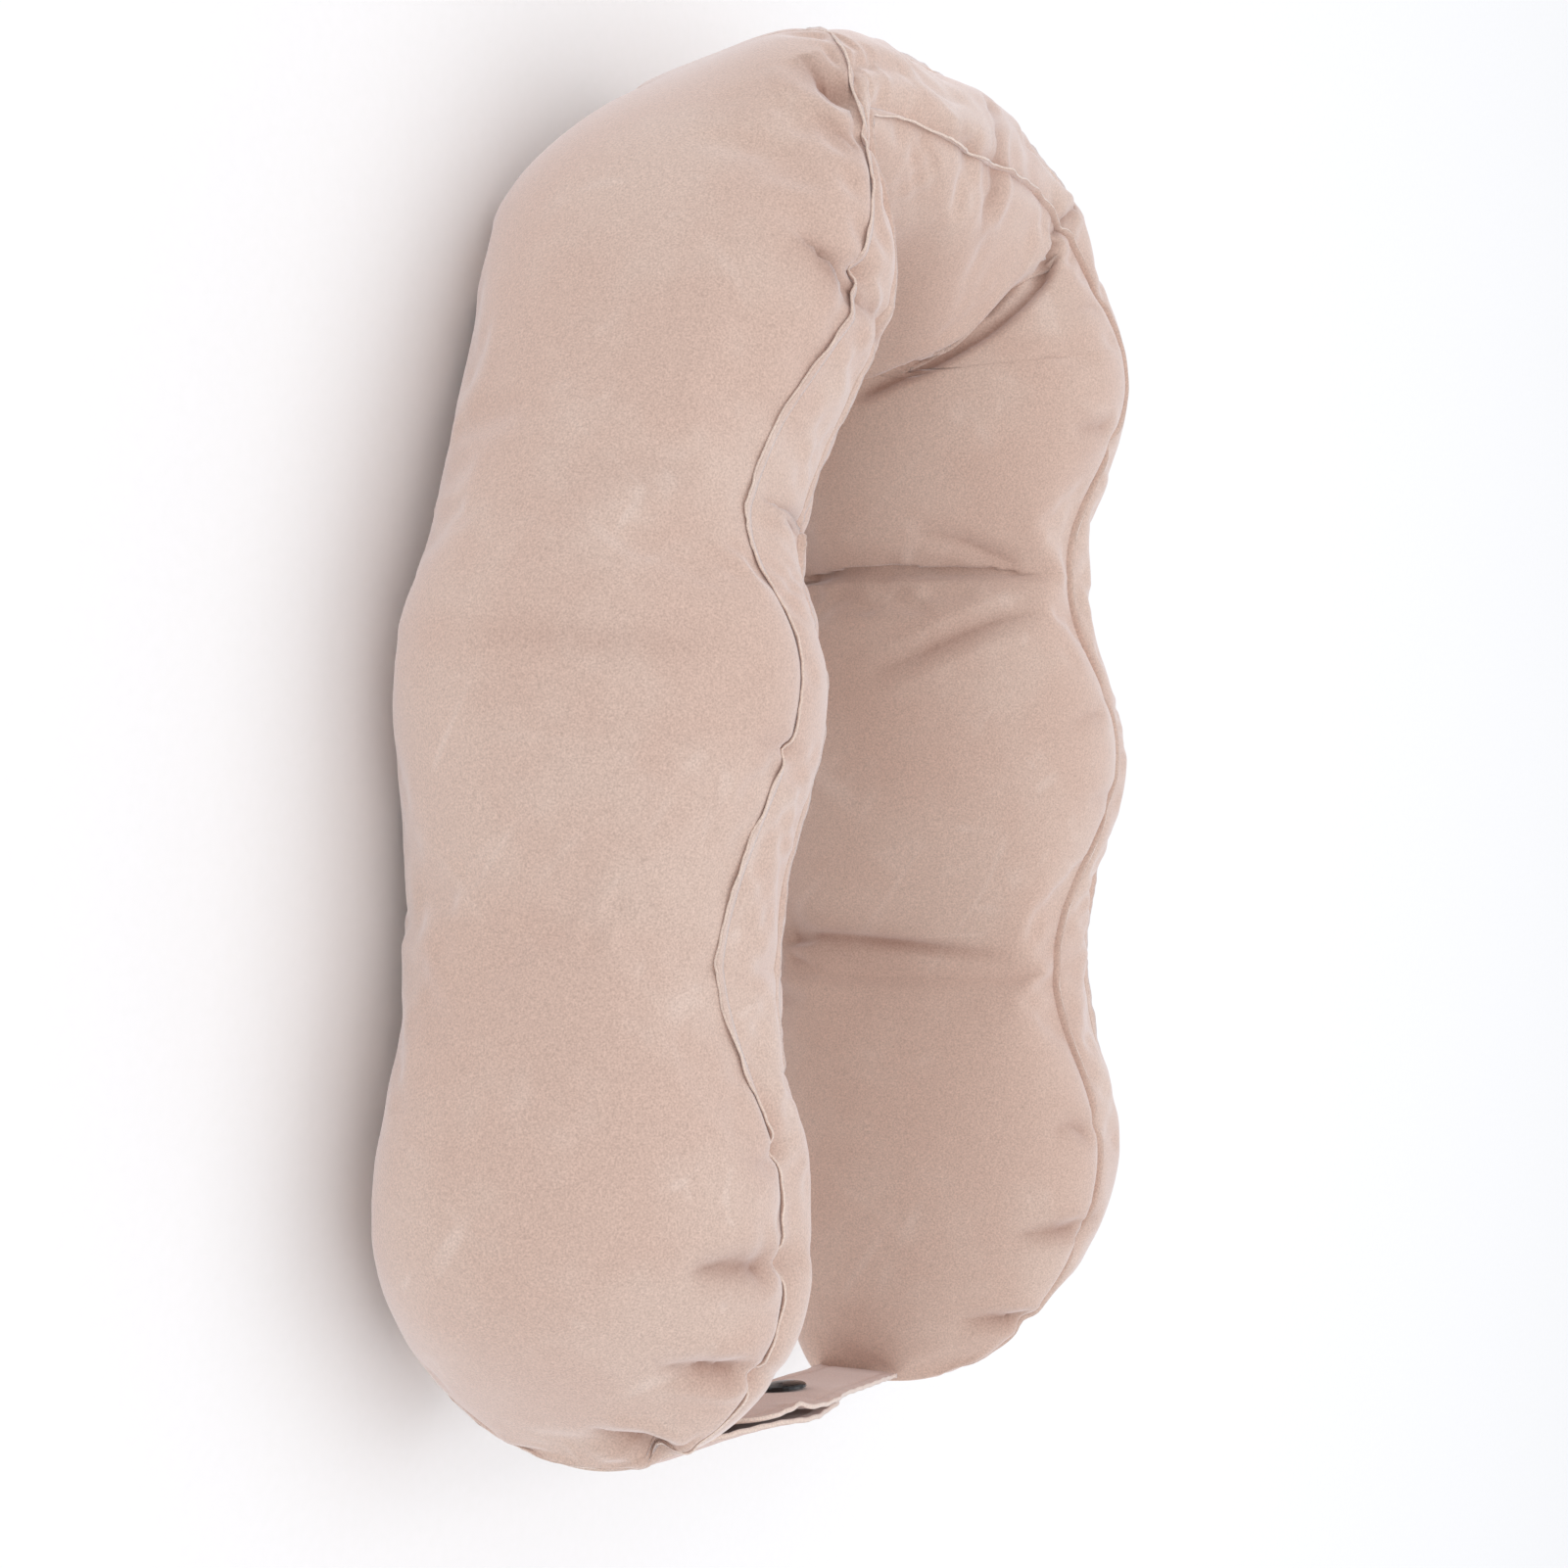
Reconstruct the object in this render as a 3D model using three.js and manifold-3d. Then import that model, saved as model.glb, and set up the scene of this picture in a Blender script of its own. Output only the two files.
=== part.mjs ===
// An inflatable travel pillow of flocked vinyl, blown up and buttoned into a U.
// The pillow is one long bag: two wavy panels with a narrow band welded between them. Seven lobes and
// six valleys run along it, the two middle valleys are its bends, and a flat tab at each end closes
// the U with a press stud. Millimetres, +Z up. The pillow lies on its lower band, with the bend
// at -X, the open end at +X and the arm with the outer tab at -Y.
import * as THREE from "three";
import { mergeVertices } from "three/addons/utils/BufferGeometryUtils.js";
import Module from "manifold-3d";

// A row for each section of the bag, from the tip of the -Y arm round the bend to the tip of the +Y
// arm. in and out are the feet of the inner and outer wall in plan, half is half the height of the
// section, seam half the width of the band between its seams, crown how far the band bulges over its
// seams, turn the degrees that the section's top turns outward, and middle its middle's height.
const SECTIONS = [
  { name: "tip G", in: [178, -72], out: [176, -96], half: 0, seam: 11, crown: 3, turn: -15, middle: 52 },
  { name: "lobe G", in: [109, -49], out: [125, -137], half: 54, seam: 11, crown: 7, turn: -28, middle: 51 },
  { name: "valley FG", in: [58, -57], out: [55, -129], half: 45, seam: 13, crown: 3, turn: -6, middle: 48 },
  { name: "lobe F", in: [-5, -48], out: [-13, -136], half: 52, seam: 13, crown: 2, turn: -18, middle: 51 },
  { name: "valley EF", in: [-46, -54], out: [-53, -126], half: 44, seam: 16, crown: 3, turn: -10, middle: 49 },
  { name: "lobe E", in: [-105, -36], out: [-132, -98], half: 53, seam: 11, crown: 2, turn: -12, middle: 52 },
  { name: "bend DE", in: [-132, -48], out: [-174, -54], half: 43, seam: 5, crown: 3, turn: 14, middle: 54 },
  { name: "lobe D", in: [-130, 12], out: [-183, -15], half: 52, seam: 8, crown: 3, turn: 13, middle: 49 },
  { name: "bend CD", in: [-124, 44], out: [-178, 91], half: 46, seam: 8, crown: 3, turn: 21, middle: 49 },
  { name: "lobe C", in: [-103, 35], out: [-122, 122], half: 54, seam: 12, crown: 2, turn: 27, middle: 53 },
  { name: "valley BC", in: [-56, 52], out: [-57, 122], half: 45, seam: 14, crown: 5, turn: 19, middle: 49 },
  { name: "lobe B", in: [-4, 48], out: [-6, 138], half: 54, seam: 12, crown: 5, turn: 28, middle: 51 },
  { name: "valley AB", in: [63, 58], out: [50, 132], half: 46, seam: 15, crown: 3, turn: 6, middle: 48 },
  { name: "lobe A", in: [118, 53], out: [114, 139], half: 54, seam: 16, crown: 4, turn: 17, middle: 51 },
  { name: "tip A", in: [184, 68], out: [178, 95], half: 0, seam: 11, crown: 3, turn: 13, middle: 52 },
];
const SQUARENESS = 2.2; // of a section: 2 is an ellipse, more is squarer
const END_SQUARENESS = [2.2, 1.9]; // of the two tips, seen from the side
// A section's foot lies flat. It turns by smooth steps of its height, from none at one share of its
// half height to its full turn at another.
const TURN = { noneAt: -1, fullAt: 0.4 };
const VALLEY_CREASE = 0.8; // of the inner wall's bulge: under 1 leaves a sharp valley between two lobes
const RINGS_PER_ROW = 8;
const TIP_CROWDING = 1.8; // more than 1 sets the rings closer together towards a tip
const PANEL_STEPS = 10; // faces across a panel, from seam to seam
const BAND_STEPS = 4; // faces across the band
const SEAM_LIMIT = 0.95; // of half the section's width, the furthest that a seam lies from its middle
const CROWN_FULL_FROM = 20; // the half height from which the band has its full crown

// The weld between a panel and the band, a flange that stands out of the bag and leans by tilt away from
// the band. It is pressed flat on the floor under flatUnder, and runs out towards a tip, where it is
// full from the section of that half height on.
const WELD = { stands: 2.6, halfRoot: 0.9, tilt: 20, flatUnder: 7, noneUntil: 6, fullFrom: 24 };

// The tabs, two flat ends of the same sheet. They lean into the U at the stud. Their upper edges ripple
// by so much either way over a wave, and are pulled inward at one place.
const TAB = {
  thick: 1.2,
  lean: 9,
  flatUntil: 7,
  ripple: 0.9,
  wave: 52,
  pulledAt: -8,
  blunt: 0.8,
  stepsAlong: 24,
  stepsAcross: 8,
};
const SNAP = { x: 173, y: -4, z: 57, facets: 24 }; // where its axis meets the inner tab's middle
const GAP = 0.3; // between pieces that touch
const MERGE = 1e-3; // points closer than this are one
// A tab's middle, from its weld on the bag's tip to its round end. away is how far it stands from the
// plane of the inner tab at the stud and low how far it hangs under the stud, wide the tab's width, bow
// how far its two edges fall back from its middle, and upright the degrees that it leans less.
const INNER_TAB = [
  { y: 68, away: 8.6, low: 16, wide: 28, bow: 2, upright: 9 },
  { y: 54, away: 4.6, low: 15, wide: 29, bow: 0, upright: 9 },
  { y: 38, away: 1.8, low: 12, wide: 33, bow: 0, upright: 4 },
  { y: 20, away: 0.4, low: 7, wide: 37, bow: 0, upright: 0 },
  { y: 4, away: 0, low: 2, wide: 40, bow: 0, upright: 0 },
  { y: -12, away: 0, low: 0, wide: 40, bow: 0, upright: 0 },
  { y: -32, away: 0, low: 0, wide: 40, bow: 0, upright: 0 },
  { y: -60, away: 0, low: 0, wide: 40, bow: 0, upright: 0 },
];
const OUTER_TAB = [
  { y: -86, away: 5.6, low: 2, wide: 40, bow: 3.4, upright: 0 },
  { y: -79, away: 6, low: 2, wide: 40, bow: 3.4, upright: 0 },
  { y: -71, away: 6.2, low: 2, wide: 40, bow: 3, upright: 0 },
  { y: -56, away: 5.2, low: 1, wide: 40, bow: 1.6, upright: 0 },
  { y: -40, away: 4.8, low: 0, wide: 40, bow: 0, upright: 0 },
  { y: -26, away: 4.8, low: 0, wide: 40, bow: 0, upright: 0 },
  { y: -12, away: 4.8, low: 0, wide: 40, bow: 0, upright: 0 },
  { y: 4, away: 4.8, low: 0, wide: 40, bow: 0, upright: 0 },
  { y: 16, away: 4.8, low: 0, wide: 40, bow: 0, upright: 0 },
];

// The press stud. Two capped pins go through the tabs and hold the socket and the stud.
const CAP = { radius: 6.25, rise: 2, rim: 0.6, domeSteps: 6 };
const PIN = { radius: 1.5, reach: 2.6, cutter: 40 };
const SOCKET = { radius: 5.2, thick: 2, floor: 0.6, recess: 3.4 };
const STUD = { radius: 5, thick: 0.7, post: 3.1, postLength: 1.4, bore: 1.9 };

const FLOCK_PINK = 0xd2bcb0;
const SNAP_BLACK = 0x141416;
const flock = new THREE.MeshStandardMaterial({ color: FLOCK_PINK, roughness: 0.95, metalness: 0 });
const acetal = new THREE.MeshStandardMaterial({ color: SNAP_BLACK, roughness: 0.25, metalness: 0 });

const { lerp, degToRad, smoothstep } = THREE.MathUtils;
const ease = (t) => (1 - Math.cos(Math.PI * t)) / 2;
const superellipse = (u, power) => (1 - Math.abs(u) ** power) ** (1 / power);
const LAST = SECTIONS.length - 1;

// The inner wall bulges between its valleys, which stay sharp. The outer wall is one smooth curve.
function innerWall(row, t) {
  const lobe = row % 2 ? row : row + 1;
  const [from, mid, to] = [lobe - 1, lobe, lobe + 1].map((i) => SECTIONS[i].in);
  const share = (row - lobe + 1 + t) / 2;
  const bulge = Math.sin(Math.PI * share) ** VALLEY_CREASE;
  return [0, 1].map((i) => lerp(from[i], to[i], share) + (mid[i] - (from[i] + to[i]) / 2) * bulge);
}
const outerCurve = new THREE.CatmullRomCurve3(
  SECTIONS.map((s) => new THREE.Vector3(...s.out, 0)),
  false,
  "catmullrom",
  0.5,
);

// The section at a row plus a share t of the way to the next one.
function sectionAt(row, t) {
  const [a, b] = [SECTIONS[row], SECTIONS[row + 1]];
  const section = {};
  for (const column of ["half", "seam", "crown", "turn", "middle"])
    section[column] = lerp(a[column], b[column], ease(t));
  section.tall = section.half;
  if (row === 0) {
    section.tall = b.half;
    section.half = b.half * superellipse(1 - t, END_SQUARENESS[0]);
  }
  if (row === LAST - 1) {
    section.tall = a.half;
    section.half = a.half * superellipse(t, END_SQUARENESS[1]);
  }
  const outer = outerCurve.getPoint((row + t) / LAST);
  section.inner = new THREE.Vector3(...innerWall(row, t), 0);
  section.outer = new THREE.Vector3(outer.x, outer.y, 0);
  return section;
}

// The places along the bag, closer together towards its two tips.
function stations() {
  const list = [];
  for (let row = 0; row < LAST; row++)
    for (let i = 0; i < RINGS_PER_ROW; i++) {
      const t = i / RINGS_PER_ROW;
      if (row === 0) list.push([row, t ** TIP_CROWDING]);
      else if (row === LAST - 1) list.push([row, 1 - (1 - t) ** TIP_CROWDING]);
      else list.push([row, t]);
    }
  list.push([LAST - 1, 1]);
  return list;
}

// The outline of a section, as points across it and up it. Each seam is a root, an edge and a root,
// and edge is which way its flange stands, across and up.
function profile({ half, seam, crown, inner, outer }) {
  const reach = inner.distanceTo(outer) / 2;
  const seamAt = Math.min(seam, reach * SEAM_LIMIT);
  const seamHeight = Math.max(half - crown * Math.min(1, half / CROWN_FULL_FROM), 0);
  const panel = (angle) => ({
    across: seamAt + (reach - seamAt) * Math.cos(angle) ** (2 / SQUARENESS),
    up: seamHeight * Math.sign(Math.sin(angle)) * Math.abs(Math.sin(angle)) ** (2 / SQUARENESS),
  });
  const seamPoints = [];
  const root = Math.min(WELD.halfRoot, (reach - seamAt) / 3);
  const bandAt = (across) => seamHeight + (half - seamHeight) * (1 - (across / seamAt) ** 2);
  seamPoints.push({ across: seamAt - root, up: bandAt(seamAt - root) });
  seamPoints.push({ across: seamAt, up: seamHeight, edge: true });
  seamPoints.push({
    across: seamAt + root,
    up: seamHeight * superellipse(root / (reach - seamAt), SQUARENESS),
  });
  const side = [...seamPoints];
  for (let i = 1; i < PANEL_STEPS; i++) side.push(panel(Math.PI * (0.5 - i / PANEL_STEPS)));
  for (const p of seamPoints.toReversed()) side.push({ ...p, up: -p.up });
  const band = [];
  for (let i = 1; i < BAND_STEPS; i++) {
    const across = (seamAt - root) * (1 - (2 * i) / BAND_STEPS);
    band.push({ across, up: -bandAt(across) });
  }
  const outerHalf = [...side, ...band];
  return [...outerHalf, ...outerHalf.map((p) => ({ ...p, across: -p.across, up: -p.up }))];
}

// The bag as rings of points, with the flanges raised and the underside flat on the floor.
function bagRings() {
  const rings = stations().map(([row, t]) => {
    const section = sectionAt(row, t);
    const outward = section.outer.clone().sub(section.inner).normalize();
    const centre = section.inner.clone().add(section.outer).multiplyScalar(0.5);
    centre.z = section.middle;
    return profile(section).map((p) => {
      const turn = degToRad(section.turn) * smoothstep(p.up / section.tall, TURN.noneAt, TURN.fullAt);
      const across = outward.clone().multiplyScalar(Math.cos(turn)).setZ(-Math.sin(turn));
      const up = outward.clone().multiplyScalar(Math.sin(turn)).setZ(Math.cos(turn));
      const stands = across.clone().multiplyScalar(Math.sign(p.across) * Math.sin(degToRad(WELD.tilt)));
      stands.addScaledVector(up, Math.sign(p.up || 1) * Math.cos(degToRad(WELD.tilt)));
      const at = centre.clone().addScaledVector(across, p.across).addScaledVector(up, p.up);
      return { ...p, half: section.half, at, stands };
    });
  });
  return rings.map((ring, r) =>
    ring.map((p, k) => {
      const at = p.at.clone();
      const isTip = r === 0 || r === rings.length - 1;
      if (p.edge && !isTip) {
        const along = rings[r + 1][k].at.clone().sub(rings[r - 1][k].at).normalize();
        const normal = p.stands.clone().addScaledVector(along, -p.stands.dot(along)).normalize();
        const high = smoothstep(at.z, 1, WELD.flatUnder);
        const full = smoothstep(p.half, WELD.noneUntil, WELD.fullFrom);
        at.addScaledVector(normal, WELD.stands * high * full);
      }
      at.z = Math.max(at.z, 0);
      return at;
    }),
  );
}

// A closed skin over rings of points. The first and the last ring each close on themselves.
function skin(rings) {
  const positions = [];
  const size = rings[0].length;
  const corner = (r, k) => rings[r][k % size];
  const face = (...points) => {
    if (points.some((p, i) => p.distanceTo(points[(i + 1) % 3]) < MERGE)) return;
    for (const p of points) positions.push(p.x, p.y, p.z);
  };
  for (let r = 0; r + 1 < rings.length; r++)
    for (let k = 0; k < size; k++) {
      const [a, b, c, d] = [corner(r, k), corner(r, k + 1), corner(r + 1, k + 1), corner(r + 1, k)];
      face(a, c, b);
      face(a, d, c);
    }
  const geometry = new THREE.BufferGeometry();
  geometry.setAttribute("position", new THREE.Float32BufferAttribute(positions, 3));
  return mergeVertices(geometry, MERGE);
}

// A tab in the stud's own frame: x away from the inner tab's middle, y along the tab and z up it. Its
// free end is round.
function tab(route) {
  const last = route.length - 1;
  const path = new THREE.CatmullRomCurve3(
    route.map((p) => new THREE.Vector3(p.away, p.y - SNAP.y, -p.low)),
    false,
    "centripetal",
  );
  const length = path.getLength();
  const ring = (at, thick) => {
    const t = path.getUtoTmapping(at / length);
    const middle = path.getPoint(t);
    const tangent = path.getTangent(t).setZ(0).normalize();
    const normal = new THREE.Vector3(tangent.y, -tangent.x, 0);
    const row = Math.min(Math.floor(t * last), last - 1);
    const column = (name) => lerp(route[row][name], route[row + 1][name], t * last - row);
    const width = column("wide") / 2;
    const left = Math.min((length - at) / width, 1);
    const half = width * Math.sqrt(1 - (1 - left) ** 2);
    const upright = degToRad(column("upright"));
    const wave = Math.cos((2 * Math.PI * (middle.y - TAB.pulledAt)) / TAB.wave);
    const line = (side) => {
      const points = [];
      for (let i = 0; i <= TAB.stepsAcross; i++) {
        const up = half * ((2 * i) / TAB.stepsAcross - 1);
        const lift = Math.max((up - TAB.flatUntil) / (width - TAB.flatUntil), 0) ** 2;
        const back = TAB.ripple * lift * wave + column("bow") * (up / width) ** 2;
        const place = middle.clone().addScaledVector(normal, (side * thick) / 2 - back);
        place.x += up * Math.sin(upright);
        place.z += up * Math.cos(upright);
        points.push(place);
      }
      return side > 0 ? points : points.reverse();
    };
    return [...line(1), ...line(-1)];
  };
  const rings = [ring(0, 0)];
  for (let i = 0; i < TAB.stepsAlong; i++) rings.push(ring((length * i) / TAB.stepsAlong, TAB.thick));
  rings.push(ring(length - TAB.blunt, TAB.thick), ring(length - TAB.blunt, 0));
  return skin(rings);
}

// A turned piece of the stud: radii and places along the axis, which is x in the stud's frame.
function turned(profilePoints) {
  const points = profilePoints.map(([radius, x]) => new THREE.Vector2(radius, x));
  return new THREE.LatheGeometry(points, SNAP.facets).rotateZ(-Math.PI / 2);
}
// A capped pin: the flat of the cap faces the way that the pin points, which is +x.
function cappedPin() {
  const dome = [];
  for (let i = 0; i <= CAP.domeSteps; i++) {
    const angle = (Math.PI / 2) * (i / CAP.domeSteps);
    dome.push([CAP.radius * Math.sin(angle), -CAP.rim - (CAP.rise - CAP.rim) * Math.cos(angle)]);
  }
  return turned([...dome, [CAP.radius, 0], [PIN.radius, 0], [PIN.radius, PIN.reach], [0, PIN.reach]]);
}

const wasm = await Module();
wasm.setup();

function solidOf(geometry) {
  const bare = geometry.clone();
  bare.deleteAttribute("normal");
  bare.deleteAttribute("uv");
  const merged = mergeVertices(bare, MERGE);
  return new wasm.Manifold(
    new wasm.Mesh({
      numProp: 3,
      vertProperties: merged.attributes.position.array,
      triVerts: new Uint32Array(merged.index.array),
    }),
  );
}
function geometryOf(solid) {
  const mesh = solid.getMesh();
  const geometry = new THREE.BufferGeometry();
  geometry.setAttribute("position", new THREE.BufferAttribute(mesh.vertProperties, 3));
  geometry.setIndex(new THREE.BufferAttribute(mesh.triVerts, 1));
  geometry.computeVertexNormals();
  return geometry;
}
// A tab with the hole that the pin passes through.
function piercedTab(route) {
  const hole = new THREE.CylinderGeometry(PIN.radius + GAP, PIN.radius + GAP, PIN.cutter, SNAP.facets);
  hole.rotateZ(Math.PI / 2);
  return geometryOf(solidOf(tab(route)).subtract(solidOf(hole)));
}

function piece(name, geometry, material) {
  const mesh = new THREE.Mesh(geometry, material);
  mesh.name = name;
  return mesh;
}

const pillow = new THREE.Group();
const bag = skin(bagRings());
bag.computeVertexNormals();
pillow.add(piece("bag", bag, flock));

const clasp = new THREE.Group();
clasp.position.set(SNAP.x, SNAP.y, SNAP.z);
clasp.rotation.y = -degToRad(TAB.lean);
pillow.add(clasp);
const layer = TAB.thick / 2 + GAP;
const between = OUTER_TAB.at(-1).away;
clasp.add(piece("tab_inner", piercedTab(INNER_TAB), flock));
clasp.add(piece("tab_outer", piercedTab(OUTER_TAB), flock));

const innerCap = piece("snap_cap_inner", cappedPin(), acetal);
innerCap.position.x = -layer;
const outerCap = piece("snap_cap_outer", cappedPin(), acetal);
outerCap.position.x = between + layer;
outerCap.rotation.z = Math.PI;
const bore = PIN.radius + GAP;
const socket = turned([
  [bore, 0],
  [SOCKET.radius, 0],
  [SOCKET.radius, SOCKET.thick],
  [SOCKET.recess, SOCKET.thick],
  [SOCKET.recess, SOCKET.floor],
  [bore, SOCKET.floor],
  [bore, 0],
]);
const socketPiece = piece("snap_socket", socket, acetal);
socketPiece.position.x = layer;
const stud = turned([
  [STUD.bore, STUD.thick],
  [STUD.bore, -STUD.postLength],
  [STUD.post, -STUD.postLength],
  [STUD.post, 0],
  [STUD.radius, 0],
  [STUD.radius, STUD.thick],
  [STUD.bore, STUD.thick],
]);
const studPiece = piece("snap_stud", stud, acetal);
studPiece.position.x = between - layer - STUD.thick;
clasp.add(innerCap, outerCap, socketPiece, studPiece);

// The origin is the middle of the footprint.
const box = new THREE.Box3().setFromObject(pillow, true);
pillow.position.set(-(box.min.x + box.max.x) / 2, -(box.min.y + box.max.y) / 2, -box.min.z);

export default pillow;
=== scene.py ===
import math

import bmesh
import bpy
import numpy as np
from mathutils import Matrix, Vector
from mathutils.bvhtree import BVHTree


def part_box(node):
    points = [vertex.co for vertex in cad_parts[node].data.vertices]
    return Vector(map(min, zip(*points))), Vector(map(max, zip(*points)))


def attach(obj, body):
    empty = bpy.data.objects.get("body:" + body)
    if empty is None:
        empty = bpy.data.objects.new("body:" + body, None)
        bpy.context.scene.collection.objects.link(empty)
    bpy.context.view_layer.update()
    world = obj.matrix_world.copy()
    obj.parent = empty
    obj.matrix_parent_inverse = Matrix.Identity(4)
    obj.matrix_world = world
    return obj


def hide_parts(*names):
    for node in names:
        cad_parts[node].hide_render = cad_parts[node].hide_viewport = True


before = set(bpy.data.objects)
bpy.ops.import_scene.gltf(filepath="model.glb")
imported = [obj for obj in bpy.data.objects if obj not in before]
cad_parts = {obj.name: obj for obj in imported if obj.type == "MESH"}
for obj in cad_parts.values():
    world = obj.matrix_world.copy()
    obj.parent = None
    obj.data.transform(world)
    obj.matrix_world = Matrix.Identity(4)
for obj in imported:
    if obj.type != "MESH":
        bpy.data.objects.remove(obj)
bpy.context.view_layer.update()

# An inflatable travel pillow of flocked vinyl, blown up and buttoned into a U. Lengths in the tables are
# millimetres in the frame of the part's own drawing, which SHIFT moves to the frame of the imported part.
MM = 0.001
SEED = 7

# The photo's camera: the photo's size and the focal length in pixels, where it stands, and the degrees
# that it is panned, tipped down and rolled.
PHOTO = {"size": 1601, "focal": 2567.7, "at": (35.7, -596.2, 392.0), "pan": 2.5, "down": 30.0, "roll": 91.0}
SENSOR = 36

# A row for each section of the bag, from the tip of the -Y arm round the bend to the tip of the +Y arm:
# the feet of the inner and outer wall, half the height, half the band's width at its seams, how far the
# band bulges over them, the degrees that the top turns outward, and the height of the middle.
COLUMNS = ("name", "in_x", "in_y", "out_x", "out_y", "half", "seam", "crown", "turn", "middle")
SECTIONS = (
    ("tip G", 178, -72, 176, -96, 0, 11, 3, -15, 52),
    ("lobe G", 109, -49, 125, -137, 54, 11, 7, -28, 51),
    ("valley FG", 58, -57, 55, -129, 45, 13, 3, -6, 48),
    ("lobe F", -5, -48, -13, -136, 52, 13, 2, -18, 51),
    ("valley EF", -46, -54, -53, -126, 44, 16, 3, -10, 49),
    ("lobe E", -105, -36, -132, -98, 53, 11, 2, -12, 52),
    ("bend DE", -132, -48, -174, -54, 43, 5, 3, 14, 54),
    ("lobe D", -130, 12, -183, -15, 52, 8, 3, 13, 49),
    ("bend CD", -124, 44, -178, 91, 46, 8, 3, 21, 49),
    ("lobe C", -103, 35, -122, 122, 54, 12, 2, 27, 53),
    ("valley BC", -56, 52, -57, 122, 45, 14, 5, 19, 49),
    ("lobe B", -4, 48, -6, 138, 54, 12, 5, 28, 51),
    ("valley AB", 63, 58, 50, 132, 46, 15, 3, 6, 48),
    ("lobe A", 118, 53, 114, 139, 54, 16, 4, 17, 51),
    ("tip A", 184, 68, 178, 95, 0, 11, 3, 13, 52),
)
TABLE = {c: np.array([row[i] for row in SECTIONS]) for i, c in enumerate(COLUMNS)}
LAST = len(SECTIONS) - 1
SQUARENESS = 2.2  # of a section: 2 is an ellipse, more is squarer
END_SQUARENESS = (2.2, 1.9)  # of the two tips, seen from the side
TURN_SHARES = (-1.0, 0.4)  # of the half height, where the turn starts and where it is full
VALLEY_CREASE = 0.8  # under 1 leaves a sharp valley between two lobes
TIP_CROWDING = 1.8  # over 1 crowds the rings towards the two tips
SEAM_LIMIT = 0.95  # of half the bag's width, past which no seam lies
CROWN_FULL_FROM = 20  # half the height from which a band bulges fully
DENSE = {"wall": 180, "lid": 60}  # steps of a panel's and a band's line before they are spaced evenly

# How far the top seams lie from where the sections have them, in millimetres round the section, by row of
# the table: the inner one towards the middle of the band, the outer one down the outer panel.
SEAM_SLIPS = (
    (4.3, 0, 0), (4.5, 0, -2.5), (4.7, 0, -4.5), (4.82, 0, -2.5), (4.9, 0, 0), (5.0, 0, 1), (5.15, 0, 0),
    (5.4, 0, -2), (5.55, 0, -4), (5.7, 0, -3), (5.8, 0, 0), (5.9, 0, 4), (6.0, -1, 8.5), (6.1, -1, 12.5),
    (6.2, -1, 22), (6.4, -1, 25), (6.6, -1, 24), (6.8, -1, 21), (7.0, -1, 18), (7.3, 0, 16), (7.6, 0, 13),
    (7.8, -2, 9), (8.0, -4.5, 6), (8.2, -3, 2), (8.5, -1, 0), (8.8, 0, 0),
)

# The skin is a grid: rings along the bag, and points round each ring from the outer top seam down the
# outer panel, across the lower band, up the inner panel and across the upper band.
COARSE = {"rings": 12, "panel": 26, "band": 6}  # about 5 mm, for the simulation
FINER = {"rings": 6, "panel": 3, "band": 3}  # grid lines of the finished skin for each coarse one
VALLEY_CROWDING = 0.35  # of the finished skin's rings, whose creases are sharpest in the valleys
# Which way round a ring the panel of each seam lies.
PANEL_SIDE = {"outer_top": 1, "outer_bottom": -1, "inner_bottom": 1, "inner_top": -1}

# The bag's sheet and the air in it, as the simulation takes them, and the most that a point moves.
SHEET = {"quality": 6, "mass": 0.2, "tension_stiffness": 12, "compression_stiffness": 12,
         "shear_stiffness": 4, "bending_stiffness": 0.4, "shrink_min": -0.02, "shrink_max": -0.02,
         "use_pressure": True, "uniform_pressure_force": 4}
SWELLING = {"frames": 20, "most": 2.0}
FOOT = 0.5  # the height under which the skin rests on the floor


def seams_of(panel, band):
    """Where the four seams lie in a ring."""
    return {"outer_top": 0, "outer_bottom": panel, "inner_bottom": panel + band,
            "inner_top": 2 * panel + band}


def smooth_curve(p0, p1, p2, p3, t):
    """A share t of the way from p1 to p2, on the curve that passes through all four."""
    bend = (2 * p0 - 5 * p1 + 4 * p2 - p3) * t**2 + (-p0 + 3 * p1 - 3 * p2 + p3) * t**3
    return 0.5 * (2 * p1 + (p2 - p0) * t + bend)


def curve_through(points, at):
    """The curve through the points, at places counted in points from the first one."""
    ends = np.vstack([2 * points[0] - points[1], points, 2 * points[-1] - points[-2]])
    k = np.clip(at.astype(int), 0, len(points) - 2)
    return smooth_curve(*(ends[k + i] for i in range(4)), (at - k)[:, None])


def finer_lines(field, at, closed):
    """A field on grid lines, as one on the places given in those lines, by a smooth curve through them."""
    count = len(field)
    k = at.astype(int)
    t = (at - k).reshape(-1, *[1] * (field.ndim - 1))
    around = [(k + i) % count if closed else np.clip(k + i, 0, count - 1) for i in (-1, 0, 1, 2)]
    return smooth_curve(*(field[i] for i in around), t)


def smoothstep(x, low, high):
    t = np.clip((x - low) / (high - low), 0, 1)
    return t * t * (3 - 2 * t)


def superellipse(u, power):
    return (1 - np.abs(u) ** power) ** (1 / power)


def unit(v):
    return v / np.maximum(np.linalg.norm(v, axis=-1, keepdims=True), 1e-9)


def dot(a, b):
    return np.einsum("ij,ij->i", a, b)


def travelled(line):
    """How far along a line of points each of them lies."""
    return np.concatenate([[0], np.cumsum(np.linalg.norm(np.diff(line, axis=0), axis=1))])


def at_lengths(line, lengths):
    """The points at the given lengths along a line of points."""
    along = travelled(line)
    return np.stack([np.interp(lengths, along, line[:, i]) for i in range(line.shape[1])], axis=1)


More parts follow.
